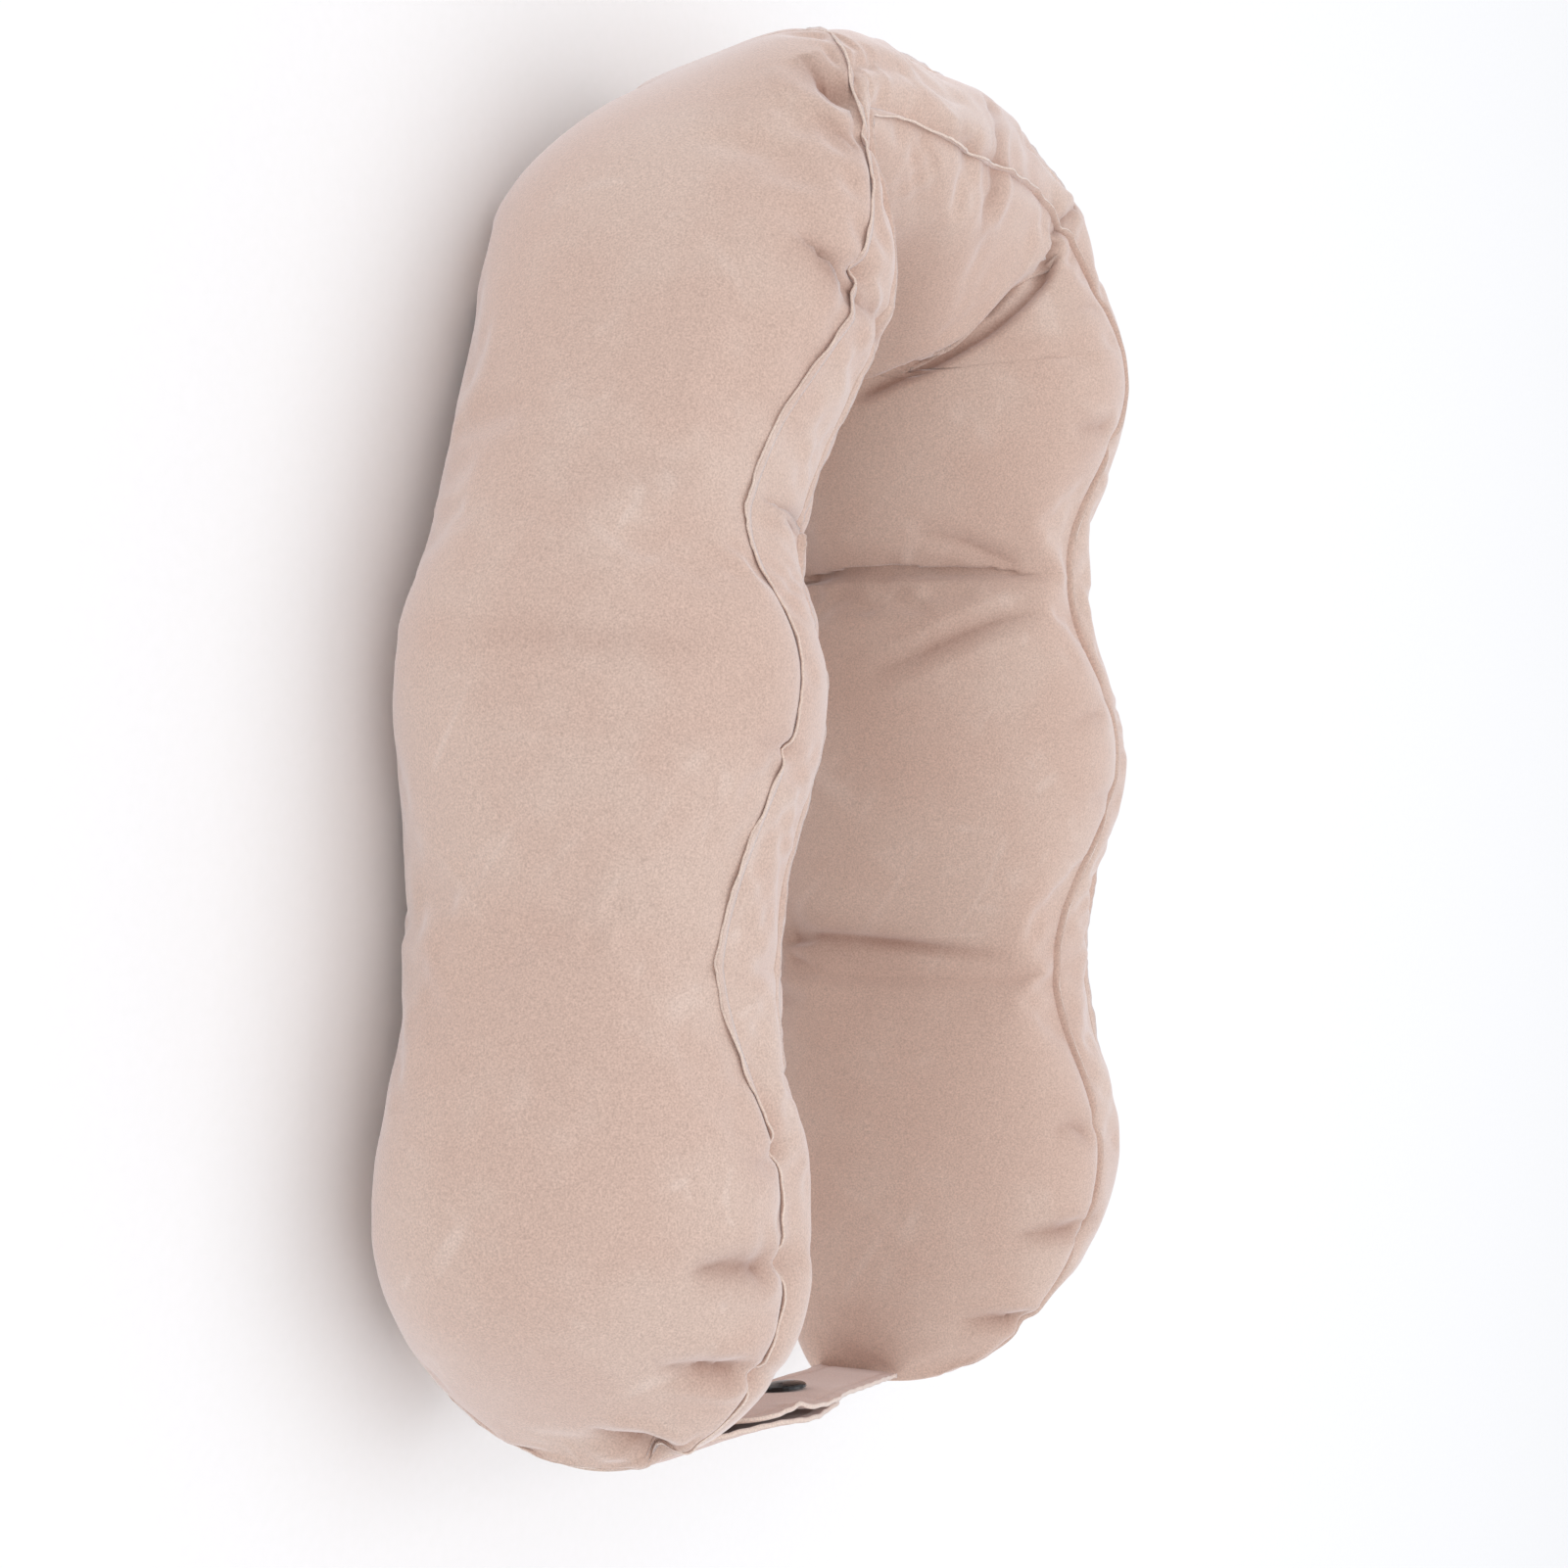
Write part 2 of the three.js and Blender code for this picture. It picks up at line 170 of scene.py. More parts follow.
def evenly(line, count):
    """count + 1 points spaced evenly along a line of many points."""
    return at_lengths(line, np.linspace(0, travelled(line)[-1], count + 1))


def inner_wall(k, t):
    """The foot of the inner wall, a share t of the way from section k to the next: a bulge at each lobe
    between the feet of its two valleys."""
    lobe = np.where(k % 2 == 1, k, k + 1)
    share = (k - lobe + 1 + t) / 2
    bulge = np.sin(np.pi * share) ** VALLEY_CREASE
    feet = np.stack([TABLE["in_x"], TABLE["in_y"]], axis=1).astype(float)
    a, b, c = feet[lobe - 1], feet[lobe], feet[np.minimum(lobe + 1, LAST)]
    return a + (c - a) * share[:, None] + (b - (a + c) / 2) * bulge[:, None]


def table_rows(places):
    """Places counted evenly along the bag, as rows of the table, which crowd towards its tips."""
    rows = places.copy()
    first, last = places < 1, places > LAST - 1
    rows[first] = places[first] ** TIP_CROWDING
    rows[last] = LAST - (LAST - places[last]) ** TIP_CROWDING
    return rows


def slipped(grid, rows, panel, band):
    """The grid with its two top seams slipped round their sections, which keep their shape."""
    at, inner, outer = zip(*SEAM_SLIPS)
    inner, outer = np.interp(rows, at, inner), np.interp(rows, at, outer)
    over_top = slice(0, 2 * panel + band + 1)
    for r in np.nonzero((inner != 0) | (outer != 0))[0]:
        ring = np.roll(grid[r], panel + band, axis=0)  # from the inner foot to the outer one, over the top
        along = travelled(ring[over_top])
        seam_a, seam_b = along[panel] + inner[r], along[panel + band] + outer[r]
        lengths = np.concatenate([
            np.linspace(0, seam_a, panel + 1)[:-1], np.linspace(seam_a, seam_b, band + 1)[:-1],
            np.linspace(seam_b, along[-1], panel + 1)])
        ring[over_top] = at_lengths(ring[over_top], lengths)
        grid[r] = np.roll(ring, -panel - band, axis=0)
    return grid


def section(half, reach, seam, crown, panel, band):
    """A ring of the bag upright: how far outward and how far up each of its points lies."""
    seam = min(seam, reach * SEAM_LIMIT)
    seam_up = max(half - crown * min(1, half / CROWN_FULL_FROM), 0)
    turn = np.linspace(np.pi / 2, -np.pi / 2, DENSE["wall"] + 1)
    cos, sin = np.cos(turn).clip(0), np.sin(turn)
    wall = np.stack([seam + (reach - seam) * cos ** (2 / SQUARENESS),
                     seam_up * np.sign(sin) * np.abs(sin) ** (2 / SQUARENESS)], axis=1)
    across = np.linspace(1, -1, DENSE["lid"] + 1)
    lid = np.stack([seam * across, -(seam_up + (half - seam_up) * (1 - across**2))], axis=1)
    one_side = np.vstack([evenly(wall, panel)[:-1], evenly(lid, band)[:-1]])
    return np.vstack([one_side, -one_side])


def bag_grid(rows, panel, band):
    """The plain skin of the bag as an array of ring, point and x, y, z."""
    k = np.minimum(rows.astype(int), LAST - 1)
    t = rows - k
    ease = (1 - np.cos(np.pi * t)) / 2
    value = {c: TABLE[c][k] * (1 - ease) + TABLE[c][k + 1] * ease for c in COLUMNS[5:]}
    tall = value["half"].copy()
    for end, lobe, share, power in ((0, 1, 1 - t, END_SQUARENESS[0]),
                                    (LAST - 1, LAST - 1, t, END_SQUARENESS[1])):
        here = k == end
        tall[here] = TABLE["half"][lobe]
        value["half"][here] = tall[here] * superellipse(share[here], power)
    inner = inner_wall(k, t)
    outer = curve_through(np.stack([TABLE["out_x"], TABLE["out_y"]], axis=1).astype(float), rows)
    grid = np.zeros((len(rows), 2 * (panel + band), 3))
    for r in range(len(rows)):
        half, seam, crown, turn = (value[c][r] for c in ("half", "seam", "crown", "turn"))
        reach = np.linalg.norm(outer[r] - inner[r]) / 2
        outward = (outer[r] - inner[r]) / (2 * reach)
        flat = section(half, reach, seam, crown, panel, band)
        angle = np.radians(turn) * smoothstep(flat[:, 1] / max(tall[r], 1), *TURN_SHARES)
        across = flat[:, 0] * np.cos(angle) + flat[:, 1] * np.sin(angle)
        grid[r, :, :2] = (inner[r] + outer[r]) / 2 + outward * across[:, None]
        grid[r, :, 2] = value["middle"][r] - flat[:, 0] * np.sin(angle) + flat[:, 1] * np.cos(angle)
    grid[..., 2] = np.maximum(grid[..., 2], 0)
    return slipped(grid, rows, panel, band)


def normals_of(grid):
    """The way out of the skin at each of its points."""
    round_it = np.roll(grid, -1, axis=1) - np.roll(grid, 1, axis=1)
    along = np.gradient(grid, axis=0)
    return unit(np.cross(along, round_it))


def grid_faces(rings, size, closed=True):
    r, k = np.meshgrid(np.arange(rings - 1), np.arange(size if closed else size - 1), indexing="ij")
    after = (k + 1) % size
    corners = [r * size + k, (r + 1) * size + k, (r + 1) * size + after, r * size + after]
    return np.stack(corners, axis=-1).reshape(-1, 4)


def linked(name, data):
    """A new object of the scene."""
    piece = bpy.data.objects.new(name, data)
    bpy.context.scene.collection.objects.link(piece)
    return piece


def new_mesh(name, points, faces):
    mesh = bpy.data.meshes.new(name)
    mesh.from_pydata(np.asarray(points, float).tolist(), [], np.asarray(faces, int).tolist())
    mesh.update()
    return linked(name, mesh)


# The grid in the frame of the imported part, still in millimetres.
panel, band = (COARSE[name] * FINER[name] for name in ("panel", "band"))
SEAM = seams_of(panel, band)
ring_places = np.arange(LAST * COARSE["rings"] * FINER["rings"] + 1) / (COARSE["rings"] * FINER["rings"])
ring_places -= VALLEY_CROWDING / np.pi * np.sin(np.pi * ring_places)
ROWS = table_rows(ring_places)
plain = bag_grid(ROWS, panel, band)
low, high = (np.array(corner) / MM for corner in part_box("bag"))
SHIFT = np.round((low + high) / 2 - (plain.reshape(-1, 3).min(0) + plain.reshape(-1, 3).max(0)) / 2, 1)
SHIFT[2] = 0
plain += SHIFT


def photo_camera():
    pan, down, roll = (math.radians(PHOTO[a]) for a in ("pan", "down", "roll"))
    ahead = Vector((-math.sin(pan) * math.cos(down), math.cos(pan) * math.cos(down), -math.sin(down)))
    level = ahead.cross(Vector((0, 0, 1))).normalized()
    over = level.cross(ahead)
    right = math.cos(roll) * level + math.sin(roll) * over
    up = -math.sin(roll) * level + math.cos(roll) * over
    data = bpy.data.cameras.new("photo_camera")
    data.sensor_width = SENSOR
    data.lens = SENSOR * PHOTO["focal"] / PHOTO["size"]
    place = Matrix((right, up, -ahead)).transposed().to_4x4()
    place.translation = (Vector(PHOTO["at"]) + Vector(SHIFT)) * MM
    camera = linked("photo_camera", data)
    camera.matrix_world = place
    bpy.context.scene.camera = camera
    return camera


camera = photo_camera()
EYE = np.array(camera.matrix_world.translation) / MM


def sight(px, py):
    """The way that the camera looks through a pixel of the photo."""
    middle = PHOTO["size"] / 2
    ray = Vector(((px - middle) / PHOTO["focal"], -(py - middle) / PHOTO["focal"], -1))
    return np.array((camera.matrix_world.to_3x3() @ ray).normalized())


def swell(grid, panel, band):
    """Blows up the coarse skin as cloth, its seams and its flat foot held, and returns how far each
    point moved."""
    points = grid.reshape(-1, 3) * MM
    rings, size = grid.shape[:2]
    cloth = new_mesh("swelling", points, grid_faces(rings, size))
    held = cloth.vertex_groups.new(name="held")
    seam_points = [r * size + k for k in seams_of(panel, band).values() for r in range(rings)]
    foot = [i for i, p in enumerate(points) if p[2] < FOOT * MM]
    tips = [*range(size), *range((rings - 1) * size, rings * size)]
    held.add(sorted({*seam_points, *foot, *tips}), 1, "REPLACE")
    modifier = cloth.modifiers.new("air", "CLOTH")
    settings = modifier.settings
    for name, value in SHEET.items():
        setattr(settings, name, value)
    settings.vertex_group_mass = "held"
    settings.effector_weights.gravity = 0
    modifier.collision_settings.use_collision = False
    modifier.point_cache.frame_start, modifier.point_cache.frame_end = 1, SWELLING["frames"]
    for number in range(1, SWELLING["frames"] + 1):
        bpy.context.scene.frame_set(number)
    shown = cloth.evaluated_get(bpy.context.evaluated_depsgraph_get()).data
    moved = np.zeros(len(points) * 3)
    shown.vertices.foreach_get("co", moved)
    bpy.context.scene.frame_set(1)
    bpy.data.objects.remove(cloth)
    moved = (moved.reshape(-1, 3) - points) / MM
    return moved.reshape(grid.shape)


def swollen(plain):
    """The fine skin with the simulation's swelling on it."""
    places = np.arange(LAST * COARSE["rings"] + 1) / COARSE["rings"]
    coarse = bag_grid(table_rows(places), COARSE["panel"], COARSE["band"]) + SHIFT
    moved = swell(coarse, COARSE["panel"], COARSE["band"])
    far = np.linalg.norm(moved, axis=-1, keepdims=True)
    moved *= SWELLING["most"] * np.tanh(far / SWELLING["most"]) / np.maximum(far, 1e-9)
    moved = finer_lines(moved, ring_places * COARSE["rings"], False)
    around = np.arange(plain.shape[1]) / FINER["panel"]
    moved = np.swapaxes(finer_lines(np.swapaxes(moved, 0, 1), around, True), 0, 1)
    out = plain + moved
    out[..., 2] = np.maximum(out[..., 2], 0)
    return out


# The creases, read off the photo and named for the lobe or valley that they lie on, or for how far down
# the photo a seam's pucker is. A crease runs through points given in the photo's pixels. wide is half its
# width and deep its depth, both in millimetres, and lip how high its edges rise beside it. fade says which
# ends run out: "end", "both" or "none". step lifts the side on the left of its way, and slide moves that
# side over the other. A soft crease has a round bottom. before is how many millimetres ahead of its first
# point the line starts.
CREASES = {
    # The near arm
    "G1": dict(at=((857, 285), (845, 270), (828, 253), (808, 235)), wide=2.4, deep=5, lip=0.5, step=1.2,
               slide=0.8),
    "G1 band": dict(at=((858, 287), (872, 300), (886, 312), (901, 324)), wide=2.4, deep=2.4, lip=0.5,
                    fade="none"),
    "corner": dict(at=((870, 112), (856, 96), (840, 78), (820, 56)), wide=3.6, deep=4.2, lip=1, fade="both"),
    "corner 2": dict(at=((873, 145), (850, 128), (826, 112)), wide=3, deep=1.8, lip=0.4),
    "seam 759": dict(at=((796, 760), (780, 758), (766, 756)), wide=2, deep=0.9, lip=0.3),
    "seam 1190": dict(at=((786, 1188), (770, 1184), (752, 1181)), wide=2.2, deep=1, lip=0.3),
    "seam 1298": dict(at=((780, 1295), (750, 1296), (722, 1299), (700, 1302)), wide=2.6, deep=4.2, lip=0.9),
    "band 1292": dict(at=((783, 1294), (802, 1290), (824, 1285)), wide=2.6, deep=1.3, lip=0.3),
    "seam 1402": dict(at=((748, 1403), (725, 1401), (695, 1400), (662, 1400)), wide=2.4, deep=4.4, lip=0.9),
    "band 1395": dict(at=((752, 1401), (775, 1391), (795, 1382)), wide=2.4, deep=1.4, lip=0.3),
    "tip": dict(at=((672, 1481), (650, 1475), (622, 1468), (598, 1458)), wide=2.6, deep=4.2, lip=1.1),
    "panel 480": dict(at=((560, 486), (640, 480), (720, 484)), wide=5, deep=0.4, lip=0.1, fade="both",
                      soft=True),
    "panel 650": dict(at=((470, 642), (560, 649), (650, 656), (740, 660)), wide=4, deep=0.6, lip=0.1,
                      fade="both", soft=True),
    "band fold": dict(at=((814, 545), (810, 537), (802, 526), (789, 516), (775, 508)), wide=2, deep=2.6,
                      step=1.2, slide=1),
    # The bend
    "D1": dict(at=((1019, 178), (1012, 205), (1006, 235), (1001, 268)), wide=2.6, deep=2, lip=0.5),
    "D1 band": dict(at=((1020, 172), (1023, 150), (1021, 130), (1013, 108)), wide=2.4, deep=1.7, lip=0.5,
                    fade="none"),
    "D1 band 2": dict(at=((1015, 165), (1017, 148), (1013, 128), (1006, 112)), wide=1.6, deep=0.7,
                      fade="both"),
    "D2": dict(at=((988, 152), (984, 168), (981, 190)), wide=2.6, deep=0.8, lip=0.2),
    "D2 band": dict(at=((991, 150), (985, 130), (982, 108)), wide=2.2, deep=1.1, lip=0.3),
    "D3 band": dict(at=((1076, 232), (1077, 213), (1072, 184)), wide=2, deep=1.2, lip=0.3),
    "CD": dict(at=((902, 392), (955, 368), (1006, 338), (1040, 310), (1064, 284), (1080, 250)), wide=2,
               deep=3, soft=True, fade="none", before=8),
    "CD band": dict(at=((1078, 240), (1091, 224), (1105, 207)), wide=1.7, deep=3, lip=0.4, fade="none"),
    # The far arm
    "C1": dict(at=((1116, 312), (1100, 312), (1086, 318)), wide=2.2, deep=0.8, lip=0.2),
    "C2": dict(at=((1128, 437), (1110, 438), (1094, 442)), wide=2.4, deep=1.8, lip=0.5),
    "BC valley": dict(at=((834, 588), (900, 581), (1000, 583), (1060, 590)), wide=7, deep=1.6, soft=True),
    "BC": dict(at=((832, 585), (860, 579), (900, 576), (960, 577), (1010, 579), (1045, 584), (1068, 584)),
               wide=1.9, deep=4.6, step=1.4, slide=1.8, before=12),
    "BC branch": dict(at=((911, 578), (897, 590), (884, 608), (874, 630)), wide=1.8, deep=1.3, lip=0.3),
    "BC upper": dict(at=((1040, 579), (1014, 567), (975, 551), (925, 541)), wide=2.2, deep=1.6, lip=0.4,
                     fade="both"),
    "BC lower": dict(at=((1062, 622), (1010, 636), (950, 662), (885, 692)), wide=2.4, deep=2.4, lip=0.7,
                     fade="both"),
    "B1": dict(at=((1122, 729), (1106, 735), (1090, 748)), wide=2.2, deep=1.1, lip=0.3),
    "B2": dict(at=((1146, 808), (1130, 812), (1112, 820)), wide=2, deep=0.9, lip=0.2, fade="both"),
    "AB valley": dict(at=((806, 958), (850, 961), (900, 966), (960, 972)), wide=8, deep=1.6, soft=True),
    "AB": dict(at=((806, 955), (825, 957), (850, 959), (895, 963), (940, 967), (985, 972), (1032, 978)),
               wide=2.3, deep=4.2, soft=True),
    "AB short": dict(at=((806, 980), (814, 983), (824, 987), (836, 992)), wide=1.9, deep=2.6),
    "A1": dict(at=((1108, 1154), (1092, 1150), (1068, 1160)), wide=2.4, deep=2.2, lip=0.6),
    "A2": dict(at=((1092, 1257), (1075, 1258), (1055, 1261), (1028, 1266)), wide=1.9, deep=4.6, lip=0.9,
               before=3),
    "A2 band": dict(at=((1092, 1257), (1105, 1250), (1121, 1241)), wide=2, deep=1.4, lip=0.3, fade="none"),
    "A3": dict(at=((1038, 1348), (1015, 1348), (995, 1349), (974, 1350)), wide=1.8, deep=4, lip=0.8,
               before=3),
    "A4": dict(at=((990, 1396), (978, 1396), (964, 1394)), wide=2, deep=1.3, lip=0.3),
}
# Shares of a crease's half width: how far it is worked out, how far out its lips stand, and how far its
# step and its slide spread.
SPREAD = {"reach": 5, "lip": 2.5, "step": 3, "slide": 2}
FULL_SHADE_DEPTH = 4.0  # the depth of a crease whose colour gets the full painted shade
SAME_SIDE = 0.1  # how alike two ways out of the skin are at least, where a crease goes on over it

# Where the skin stands further out than its sections do, in the photo's pixels: how far, to which side in
# the part's frame, and over what radius.
BULGES = (
    {"at": (1096, 210), "far": 4.5, "side": (-0.2, 0.3, 1), "radius": 14},
    {"at": (834, 1374), "far": 11, "side": (1, -0.1, 0), "radius": 20},
    {"at": (900, 1411), "far": 5.5, "side": (-1, 0, 0), "radius": 17},
    {"at": (812, 975), "far": 4, "side": (0, -1, 0.2), "radius": 18},
    {"at": (812, 1345), "far": 1.6, "side": (0, 0.5, 0.8), "radius": 18},
    {"at": (784, 980), "far": 1.8, "side": (0, 0.5, 0.8), "radius": 14},
)
# The bend's inner wall laps over the +Y arm's, by so much towards +X and -Y. The lap grows and is over
# between two rows of the table each, and fades between two shares of the panel at its foot and its top.
LAP = {"x": 17, "y": -5, "grows": (6.7, 7.6), "over": (7.72, 8), "y_grows": (7.3, 7.9), "foot": (0.05, 0.3),
       "top": (0.66, 1.03)}
# Where a seam is drawn in, in the photo's pixels, how deep, and how far along the seam and across it.
PINCHES = {
    "outer_top": (
        ((867, 270), 5.6, 2.4, 7), ((878, 141), 1.8, 2.2, 6), ((797, 759), 3, 2, 5),
        ((786, 1190), 3, 2.2, 5), ((779, 1296), 4.8, 2.4, 6), ((749, 1403), 5.4, 2.4, 6),
        ((670, 1483), 3.4, 2.6, 6),
    ),
    "inner_top": (
        ((1012, 168), 2.6, 4, 7), ((993, 154), 1.6, 3.5, 5), ((1111, 311), 1.2, 3, 4),
        ((1125, 437), 2.2, 3, 5), ((1119, 729), 1.4, 3, 4), ((1130, 811), 0.9, 3, 4),
        ((1106, 1154), 1.8, 3, 5), ((1092, 1257), 2.8, 3.4, 6), ((1038, 1348), 2.2, 3, 5),
    ),
}
PINCH_REACH = 4  # times its size across the seam
# Puckers on the seams that the photo doesn't show, like those that it does: at which rows of the table,
# and between what sizes. A crease runs from each, over so many grid lines, with its share of the depth.
HIDDEN_PUCKERS = {
    "outer_bottom": (0.6, 1.3, 3.4, 4.6, 5.4, 7.3, 8.7, 9.4, 11.3, 13.2, 13.6),
    "inner_bottom": (0.6, 1.4, 3.2, 5.3, 7.2, 8.8, 9.3, 11.2, 12.8, 13.5),
    "inner_top": (0.7, 1.4, 3.3, 4.8),
    "outer_top": (6.7, 7.6, 8.6, 9.4, 11.3, 12.7, 13.4),
}
PUCKER = {"deep": (1.2, 3.0), "along": (3, 4.5), "across": (4, 7), "lines": (6, 14), "slant": (-0.8, 0.8),
          "wide": (2.0, 3.0), "crease_share": 0.8, "lip_share": 0.2}
TURNED_AWAY = {"over": 0.3, "costs": 50}  # keeps the search for the nearest point off the hidden side


class Skin:
    """The bag's skin as a grid of points in millimetres, which the creases and puckers change."""

    def __init__(self, grid):
        self.grid = grid
        # How much painted shade each point gets from the creases.
        self.crease_shade = np.zeros(grid.shape[:2])
        self.out = normals_of(grid)
        corners = grid_faces(*grid.shape[:2])
        self.tree = BVHTree.FromPolygons([tuple(p) for p in grid.reshape(-1, 3)], corners.tolist())

    def seen_at(self, px, py):
        """The point of the skin that the photo shows at a pixel, or the nearest one beside it."""
        way = sight(px, py)
        point, _, _, _ = self.tree.ray_cast(Vector(EYE), Vector(way))
        if point is None:
            points = self.grid.reshape(-1, 3)
            beside = points - EYE
            away = np.linalg.norm(beside - (beside @ way)[:, None] * way, axis=1)
            hidden = self.out.reshape(-1, 3) @ way > TURNED_AWAY["over"]
            point = points[np.argmin(away + TURNED_AWAY["costs"] * hidden)]
        return np.array(point)

    def bulge(self, at, far, side, radius):
        away = np.linalg.norm(self.grid - self.seen_at(*at), axis=-1, keepdims=True)
        self.grid += far * np.exp(-((away / radius) ** 2)) * unit(np.array(side, float))

    def crease(self, at, before=0.0, **form):
        line = np.array([self.seen_at(*p) for p in at])
        if before:
            line = np.vstack([line[0] + before * unit(line[0] - line[1]), line])
        count = max(int(travelled(line)[-1]), 4)  # about a point for each millimetre
        self.crease_along(curve_through(line, np.linspace(0, len(line) - 1, count)), **form)

    def crease_along(self, line, wide, deep, lip=0.0, step=0.0, slide=0.0, fade="end", soft=False):
        """Draws the skin in along a line, and notes how much painted shade the crease gives the skin there.
        """
        reach = SPREAD["reach"] * wide
        near = np.all((self.grid > line.min(0) - reach) & (self.grid < line.max(0) + reach), axis=-1)
        points, out = self.grid[near], self.out[near]
        apart = points[:, None, :] - line[None]
        far = np.linalg.norm(apart, axis=2)
        best = far.argmin(1)
        nearest = np.arange(len(points)), best
        gap = far[nearest]
        share = best / (len(line) - 1)
        strength = {"end": 1 - share**2, "both": np.sin(np.pi * share) ** 0.7, "none": 1 + 0 * share}[fade]
        roots = [np.argmin(((self.grid.reshape(-1, 3) - p) ** 2).sum(1)) for p in line]
        root_out = self.out.reshape(-1, 3)[roots]
        strength = strength * (dot(out, root_out[best]) > SAME_SIDE)
        valley = np.exp(-((gap / wide) ** 2)) if soft else np.exp(-gap / wide)
        # The share of the painted crease shade that each point gets.
        shade_share = np.minimum(deep / FULL_SHADE_DEPTH, 1) * valley * strength
        self.crease_shade[near] = np.maximum(self.crease_shade[near], shade_share)
        move = -deep * valley + lip * np.exp(-(((gap - SPREAD["lip"] * wide) / wide) ** 2))
        if step:
            leftward = np.cross(out, unit(np.gradient(line, axis=0))[best])
            left = dot(apart[nearest], leftward) > 0
            move = np.where(left, step * np.exp(-gap / (SPREAD["step"] * wide)), -deep * valley)
            over = slide * strength * left * np.exp(-gap / (SPREAD["slide"] * wide))
            points = points - leftward * over[:, None]
        self.grid[near] = points + out * (move * strength)[:, None]

    def pinch(self, seam, at, deep, along, across):
        line = self.grid[:, SEAM[seam]]
        r = int(np.argmin(((line - self.seen_at(*at)) ** 2).sum(1)))
        self.pinch_row(seam, r, deep, along, across)

    def pinch_row(self, seam, r, deep, along, across):
        """Draws a seam in at one of its rings."""
        k = SEAM[seam]
        line = self.grid[:, k]
        tangent = unit(line[min(r + 2, len(line) - 1)] - line[max(r - 2, 0)])
        apart = self.grid - line[r]
        a = apart @ tangent
        far = np.linalg.norm(apart - a[..., None] * tangent, axis=-1)
        weight = np.exp(-((a / along) ** 2)) * np.exp(-far / across) * (far < PINCH_REACH * across)
        self.grid -= self.out[r, k] * (deep * weight)[..., None]


def lapped(grid):
    """The grid with the bend's inner wall pushed out over the arm next to it."""
    rows = ROWS[:, None]
    share = (np.arange(panel + 1) / panel)[None]
    weight = smoothstep(rows, *LAP["grows"]) * (1 - smoothstep(rows, *LAP["over"]))
    weight = weight * (1 - smoothstep(share, *LAP["top"])) * smoothstep(share, *LAP["foot"])
    wall = slice(SEAM["inner_bottom"], SEAM["inner_top"] + 1)
    grid = grid.copy()
    grid[:, wall, 0] += LAP["x"] * weight
    grid[:, wall, 1] += LAP["y"] * weight * smoothstep(rows, *LAP["y_grows"])
    return grid


def hidden_puckers(skin):
    chance = np.random.default_rng(SEED)
    size = skin.grid.shape[1]
    for seam, places in HIDDEN_PUCKERS.items():
        for row in places:
            r = int(np.searchsorted(ROWS, row))
            deep = chance.uniform(*PUCKER["deep"])
            skin.pinch_row(seam, r, deep, chance.uniform(*PUCKER["along"]), chance.uniform(*PUCKER["across"]))
            steps = np.arange(int(chance.uniform(*PUCKER["lines"])))
            slant = chance.uniform(*PUCKER["slant"])
            rings = np.clip(np.round(r + slant * steps).astype(int), 1, len(skin.grid) - 2)
            line = skin.grid[rings, (SEAM[seam] + PANEL_SIDE[seam] * steps) % size]
            skin.crease_along(line, chance.uniform(*PUCKER["wide"]), PUCKER["crease_share"] * deep,
                              PUCKER["lip_share"] * deep)


def creased(grid):
    """The finished skin, and how deep in a crease each of its points lies, which sets its painted shade."""
    skin = Skin(lapped(grid))
    for bulge in BULGES:
        skin.bulge(**bulge)
    skin = Skin(skin.grid)
    for seam, pinches in PINCHES.items():
        for pinch in pinches:
            skin.pinch(seam, *pinch)
    for crease in CREASES.values():
        skin.crease(**crease)
    hidden_puckers(skin)
    skin.grid[..., 2] = np.maximum(skin.grid[..., 2], 0)
    return skin.grid, skin.crease_shade


# Materials
def linear(code):
    """An sRGB hex colour as the shader's linear one."""
    parts = [int(code[i : i + 2], 16) / 255 for i in (0, 2, 4)]
    return (*[p / 12.92 if p <= 0.04045 else ((p + 0.055) / 1.055) ** 2.4 for p in parts], 1)


def per(size):
    """The scale of a pattern whose features are so many millimetres."""
    return 1 / (size * MM)


def add(tree, kind, inputs=None, **settings):
    """Adds a node, with its settings, and its inputs either set or linked."""
    node = tree.nodes.new(kind)
    for name, value in settings.items():
        setattr(node, name, value)
    for socket, value in (inputs or {}).items():
        if isinstance(value, bpy.types.NodeSocket):
            tree.links.new(value, node.inputs[socket])
        else:
            node.inputs[socket].default_value = value
    return node


def times(tree, a, b):
    return add(tree, "ShaderNodeMath", {0: a, 1: b}, operation="MULTIPLY").outputs[0]


def mixed(tree, factor, a, b, **settings):
    return add(tree, "ShaderNodeMix", {"Factor": factor, 6: a, 7: b}, data_type="RGBA", **settings).outputs[2]


def bare_material(name):
    """A material without nodes but for the place on the object."""
    material = bpy.data.materials.new(name)
    material.use_nodes = True
    tree = material.node_tree
    tree.nodes.clear()
    return material, tree, add(tree, "ShaderNodeTexCoord").outputs["Object"]


def shaded(tree, looks):
    shader = add(tree, "ShaderNodeBsdfPrincipled", looks)
    add(tree, "ShaderNodeOutputMaterial", {"Surface": shader.outputs[0]})


# The flock's patterns, with their sizes, detail and roughness. A fibre is about 0.02 mm thick, too fine to
# show, so grain and clumps are drawn as coarse as they need to be. A smear is so many times as long as
# it is wide.
FLOCK = {"grain": (0.5, 2, 0.6), "clump": (1.3, 1, 0.5), "patch": (45, 3, 0.55),
         "smear_stretch": 6, "pile": 0.3}
# How the smears are turned, how wide they are, and how high their pattern stands where they start.
SMEARS = (((0.1, 0.7, 0.2), 10, 0.61), ((-0.2, -0.9, 0.1), 14, 0.62), ((0.2, 1.5, -0.3), 9, 0.66))
SMEAR_EDGE = 0.13
# Painted shade: the darker, redder colour that the flock is painted towards deep in a crease.
CREASE_SHADE_COLOUR = "8A5B49"


